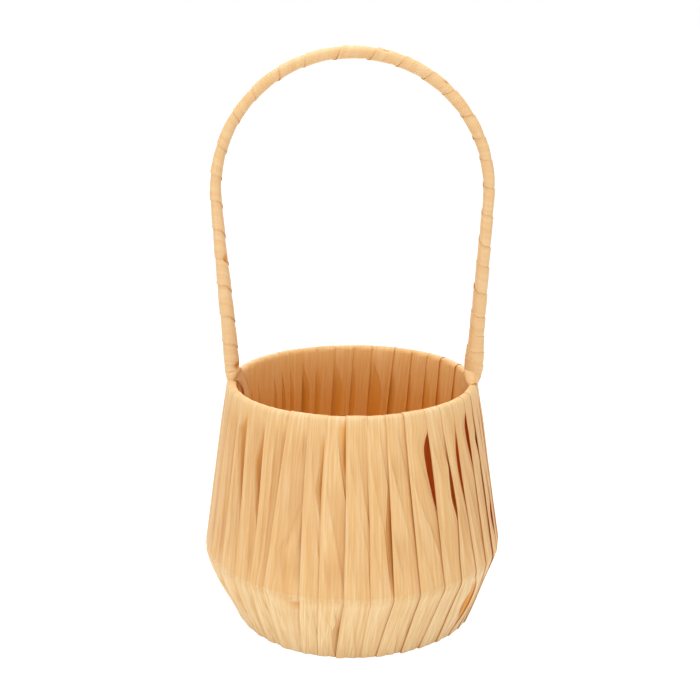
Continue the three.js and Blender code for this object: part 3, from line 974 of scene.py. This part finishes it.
def on_handle(distance):
    """A point of the rod's centre line, from the left foot to the right, and its outward direction."""
    along = min(max(distance - leg_length, 0), arch_length)
    turn = math.pi - arch_start - along / ARCH_RADIUS
    out = (math.cos(turn), math.sin(turn))
    ahead = (math.sin(turn), -math.cos(turn))
    beyond = min(distance - leg_length, 0) + max(distance - leg_length - arch_length, 0)
    x = out[0] * ARCH_RADIUS + ahead[0] * beyond
    z = ARCH_HEIGHT + out[1] * ARCH_RADIUS + ahead[1] * beyond
    return (x, z), out


# How much of its width a turn climbs on the steep inner side of the rod and on its flat front, up to
# each share of the handle's length.
WRAP_LEANS = ((0.25, 0.25, 0.03), (0.6, 0.1, 0.13), (0.75, 0.09, 0.06), (0.93, 0.2, 0.03), (2, 0.1, 0.5))
BEHIND = 0.5
INNER_SIDE = 0.2


def wrap_edge(turns):
    """How far from the left foot the near edge of the ribbon lies after this many turns.

    A turn starts on the outer side of the rod, passes behind it to the inner side, and comes back
    over the front."""
    whole = math.floor(turns)
    spin = turns - whole
    steep, flat = next(lean[1:] for lean in WRAP_LEANS if whole / wrap_turns < lean[0])
    if spin < BEHIND:
        climb = (1 - steep - flat) * spin / BEHIND
    elif spin < BEHIND + INNER_SIDE:
        climb = 1 - steep - flat + steep * (spin - BEHIND) / INNER_SIDE
    else:
        climb = 1 - flat + flat * (spin - BEHIND - INNER_SIDE) / (1 - BEHIND - INNER_SIDE)
    number = min(max(whole + 1, 0), len(wrap_edges) - 2)
    start, end = wrap_edges[number], wrap_edges[number + 1]
    return start + (end - start) * climb


def wrap_radius(distance):
    """The wrap is thickest near the feet, a little fuller at the crown, and pinched in at its ends."""
    from_foot = min(distance, handle_length - distance)
    at_foot = WRAP_AT_LEFT_FOOT if distance < handle_length / 2 else WRAP_AT_RIGHT_FOOT
    radius = WRAP_RADIUS + at_foot * (1 - smooth(from_foot / WRAP_FOOT_LENGTH))
    radius += WRAP_AT_CROWN * swell(distance / handle_length, *WRAP_CROWN)
    radius += WRAP_SWELLING * swell(handle_length - distance, *WRAP_SWOLLEN)
    return radius * (WRAP_END + (1 - WRAP_END) * smooth(from_foot / WRAP_END_LENGTH))


# Small hollows where the film is folded over itself: how far from the left foot each lies, how far
# round the rod in turns, and its size in metres.
HOLLOWS = ((0.0085, 0.57, 0.0026), (0.0735, 0.58, 0.0024), (0.2535, 0.95, 0.0022), (0.29, 0.93, 0.0014))
# How deep each hollow is and how much painted shade it gets; a hollow also gets painted orange glow.
HOLLOW_DEPTH = 0.0009
HOLLOW_SHADE = 0.5


def hollow(distance, turns):
    deepest = 0
    for place, around, size in HOLLOWS:
        off = (turns - around) % 1
        sideways = min(off, 1 - off) * ROUND * WRAP_RADIUS
        deepest = max(deepest, smooth(1.5 - 1.2 * math.hypot(distance - place, sideways) / size))
    return deepest


lumps = [[dice.uniform(-1, 1) for _ in range(4)] for _ in range(wrap_turns + 3)]


def uneven(turns, kind):
    """A seeded amount from -1 to 1 that changes slowly from turn to turn."""
    whole = math.floor(turns * 2)
    share = smooth(turns * 2 - whole)
    first = lumps[whole % len(lumps)][kind]
    return first + (lumps[(whole + 1) % len(lumps)][kind] - first) * share


def handle_ribbon(name, first_turn, last_turn):
    """One length of ribbon, wound round the rod from one turn to another."""

    def laid(over, along):
        turns = first_turn + along * (last_turn - first_turn)
        near = wrap_edge(turns) + WRAP_UNEVEN * uneven(turns, 0)
        far = wrap_edge(turns + 1) + WRAP_UNEVEN * uneven(turns + 1, 0) + WRAP_LAP
        distance = min(max(near + (far - near) * over, 0), handle_length)
        (x, z), out = on_handle(distance)
        x += WRAP_ASIDE * (1 - smooth(distance / WRAP_ASIDE_LENGTH))
        curl = WRAP_CURL[0] + WRAP_CURL[1] * max(0, uneven(turns, 1))
        curl *= max(0, 1 - over / WRAP_CURL_WIDTH)
        fullness = WRAP_FULLNESS * math.sin(math.pi * over) * (1 + uneven(turns, 2))
        sunk = hollow(distance, turns)
        reach = wrap_radius(distance) - WRAP_PROUD * over + curl + fullness - HOLLOW_DEPTH * sunk
        spin = ROUND * turns
        outward = math.cos(spin) * reach
        from_end = smooth(min(distance, handle_length - distance) / WRAP_END_LENGTH - 0.5)
        seam = WRAP_SEAM_SHADE * smooth((over - WRAP_SEAM_START) / WRAP_SEAM_RISE) * from_end
        # Hollows get painted glow and painted shade, and each turn's edge a painted shade, faded at the
        # ends.
        return (
            (x + out[0] * outward, math.sin(spin) * reach, z + out[1] * outward),
            max(WRAP_TINT, sunk),
            max(WRAP_SHADE, seam, HOLLOW_SHADE * sunk),
            (over * WRAP_DRAWN_WIDTH, turns * ROUND * CORE_RADIUS * WRAP_DRAWN_LONGER),
        )

    steps = round((last_turn - first_turn) * WRAP_STEPS)
    ribbon = ribbon_grid(name, WRAP_COLUMNS, steps, laid)
    finish_ribbon(ribbon, wrap_face, ribbon_back, WRAP_SMOOTH)
    return ribbon


WRAP_FIRST = -0.85
WRAP_SPLIT = wrap_turns // 2
WRAP_LAST = wrap_turns - 0.1
handle_left = handle_ribbon("handle_wrap_left", WRAP_FIRST, WRAP_SPLIT)
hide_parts("handle_ribbon_left")
handle_right = handle_ribbon("handle_wrap_right", WRAP_SPLIT, WRAP_LAST)
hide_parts("handle_ribbon_right")


# Foot bands. At each foot of the handle the ribbon's end is wound over the rim and tucked down inside
# the basket: short loose pieces of the same ribbon, each shaped between its two edges.
BAND_STEPS = 24
BAND_COLUMNS = 12
BAND_SMOOTH = 60
BAND_DRAWN = (0.006, 0.03)
BAND_FULL = 0.7
BAND_EDGE = 0.2
# How orange the strips are beside the wrap, and the painted glow they gain towards their lower ends.
BAND_TINT = 1.5 * WRAP_TINT
BAND_END_TINT = 0.2
# The edges of each piece, in millimetres, from its upper end on, judged one by one.
LEFT_LAP = (
    (
        (-74.7, -4.4, 150.4), (-71.9, -5.4, 151.6), (-69, -4.8, 152.4),
        (-67, -1, 153), (-66.6, 5, 151), (-67.6, 11, 148.6),
    ),
    (
        (-74.3, -4.4, 146.2), (-71.8, -5.6, 146.4), (-69.6, -4.8, 147.4),
        (-68, -1, 148.4), (-67.6, 5, 147.6), (-68.4, 11, 146.4),
    ),
)
LEFT_STRIP = (
    ((-66.4, 6, 150.4), (-65, 13, 143.1), (-64.2, 17, 137.2), (-64, 19, 131.6), (-64, 20, 124.8)),
    ((-70.4, -1, 145.6), (-68.3, 3, 143.1), (-67.1, 7, 139.5), (-66.1, 10, 135.8), (-65.6, 11, 129.1)),
)
RIGHT_LAP = (
    ((77, -2, 150.8), (76.6, -4.2, 148.6), (75.2, -7.5, 147), (73.8, -12, 146.4)),
    ((67.2, -2, 152.8), (66.6, -4.8, 150.4), (67.4, -8.5, 147.2), (69, -13.5, 145.7)),
)
RIGHT_STRIP = (
    ((67.8, -3, 151), (68.2, -2.4, 147.9), (69.5, -1, 143.7), (70.6, 0, 139), (72.2, 2, 133.3)),
    ((67.6, 4, 151), (66.7, 6, 147.2), (66.2, 8, 142.8), (65.8, 9, 137.4), (66.3, 10, 130.7)),
)


def on_edge(points, share):
    """A point on a smooth line through the given ones, in metres."""
    along = share * (len(points) - 1)
    start = min(int(along), len(points) - 2)
    part = along - start
    around = [points[min(max(start + step, 0), len(points) - 1)] for step in (-1, 0, 1, 2)]
    weights = (
        (-(part**3) + 2 * part**2 - part) / 2,
        (3 * part**3 - 5 * part**2 + 2) / 2,
        (-3 * part**3 + 4 * part**2 + part) / 2,
        (part**3 - part**2) / 2,
    )
    return [
        sum(weight * point[axis] for weight, point in zip(weights, around)) / 1000 for axis in range(3)
    ]


def foot_band(name, edges, bulge, plain_shade, edge_shades):
    """A loose strip between two edges, full in its middle by the bulge, with painted shade over it and
    along its edges, and painted glow towards its lower end.
    """

    def laid(over, along):
        first, second = on_edge(edges[0], along), on_edge(edges[1], along)
        full = math.sin(math.pi * over) ** BAND_FULL
        point = [
            first[axis] + (second[axis] - first[axis]) * over + bulge[axis] * full for axis in range(3)
        ]
        near_first, near_second = (1 - smooth(off / BAND_EDGE) for off in (over, 1 - over))
        edge_shade = edge_shades[0] * near_first + edge_shades[1] * near_second
        tint = BAND_TINT + BAND_END_TINT * smooth((along - 0.5) / 0.5)
        shade = max(plain_shade, edge_shade * swell(along, 0, 0.4, 0.9))
        return point, tint, shade, (over * BAND_DRAWN[0], along * BAND_DRAWN[1])

    finish_ribbon(ribbon_grid(name, BAND_COLUMNS, BAND_STEPS, laid), wrap_face, wrap_face, BAND_SMOOTH)


foot_band("left_lap", LEFT_LAP, bulge=(0.0003, -0.0003, 0), plain_shade=0.16, edge_shades=(0, 0.5))
foot_band(
    "left_strip", LEFT_STRIP, bulge=(0.0004, -0.0002, 0.0004), plain_shade=0, edge_shades=(1.6, 0.3)
)
foot_band(
    "right_lap", RIGHT_LAP, bulge=(0.0003, -0.0014, 0.0018), plain_shade=0.34, edge_shades=(0, 0.5)
)
foot_band(
    "right_strip", RIGHT_STRIP, bulge=(-0.0006, -0.0002, 0.0004), plain_shade=0, edge_shades=(0.3, 1.2)
)


# Wire frame. Drawn steel wire, dull with a brown tarnish: three rings, eight uprights, two wires under
# the floor and the rod of the handle, welded together. It shows only in gaps and underneath.
WIRE_GREY = (0.36, 0.28, 0.21, 1)
WIRE_DULL = (0.22, 0.13, 0.07, 1)
WIRE_SPECKS = 400
WIRE_DETAIL = 4
WIRE_SPREAD = (0.45, 0.65)
WIRE_ROUGH_SPREAD = (0.3, 0.7)
WIRE_ROUGHNESS = (0.5, 0.75)


def speckled_material(name, specks, detail, spread, pale, dark):
    """A material that turns from pale to dark in fine specks, and the noise that draws them."""
    material, tree, shader = new_material(name)
    place = tree.nodes.new("ShaderNodeTexCoord")
    noise = tree.nodes.new("ShaderNodeTexNoise")
    noise.inputs["Scale"].default_value = specks
    noise.inputs["Detail"].default_value = detail
    tree.links.new(place.outputs["Object"], noise.inputs["Vector"])
    darkened = map_range(tree, noise.outputs["Fac"], *spread, 0, 1)
    tree.links.new(mix_colour(tree, darkened, pale, dark), shader.inputs["Base Color"])
    return material, tree, shader, noise.outputs["Fac"]


wire_metal, wire_tree, wire_shader, wire_noise = speckled_material(
    "wire_metal", WIRE_SPECKS, WIRE_DETAIL, WIRE_SPREAD, WIRE_GREY, WIRE_DULL
)
wire_worn = map_range(wire_tree, wire_noise, *WIRE_ROUGH_SPREAD, *WIRE_ROUGHNESS)
wire_tree.links.new(wire_worn, wire_shader.inputs["Roughness"])
wire_shader.inputs["Metallic"].default_value = 1
for node_name, node_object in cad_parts.items():
    if any(word in node_name for word in ("ring", "upright", "wire", "core")):
        node_object.data.materials.clear()
        node_object.data.materials.append(wire_metal)


# Floor panel. A thin disc of pressed board, cut to fit inside the ribbon. It lies loose on the two
# floor wires and closes the bottom.
BOARD_TAN = (0.55, 0.33, 0.15, 1)
BOARD_DARK = (0.42, 0.23, 0.09, 1)
BOARD_SPECKS = 600
BOARD_DETAIL = 6
BOARD_SPREAD = (0.35, 0.65)
BOARD_ROUGHNESS = 0.85
BOARD_RELIEF = 0.4
BOARD_RELIEF_HEIGHT = 0.0001

board, board_tree, board_shader, board_noise = speckled_material(
    "pressed_board", BOARD_SPECKS, BOARD_DETAIL, BOARD_SPREAD, BOARD_TAN, BOARD_DARK
)
board_shader.inputs["Roughness"].default_value = BOARD_ROUGHNESS
board_bump = board_tree.nodes.new("ShaderNodeBump")
board_bump.inputs["Strength"].default_value = BOARD_RELIEF
board_bump.inputs["Distance"].default_value = BOARD_RELIEF_HEIGHT
board_tree.links.new(board_noise, board_bump.inputs["Height"])
board_tree.links.new(board_bump.outputs["Normal"], board_shader.inputs["Normal"])
floor_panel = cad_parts["floor_panel"]
floor_panel.data.materials.clear()
floor_panel.data.materials.append(board)
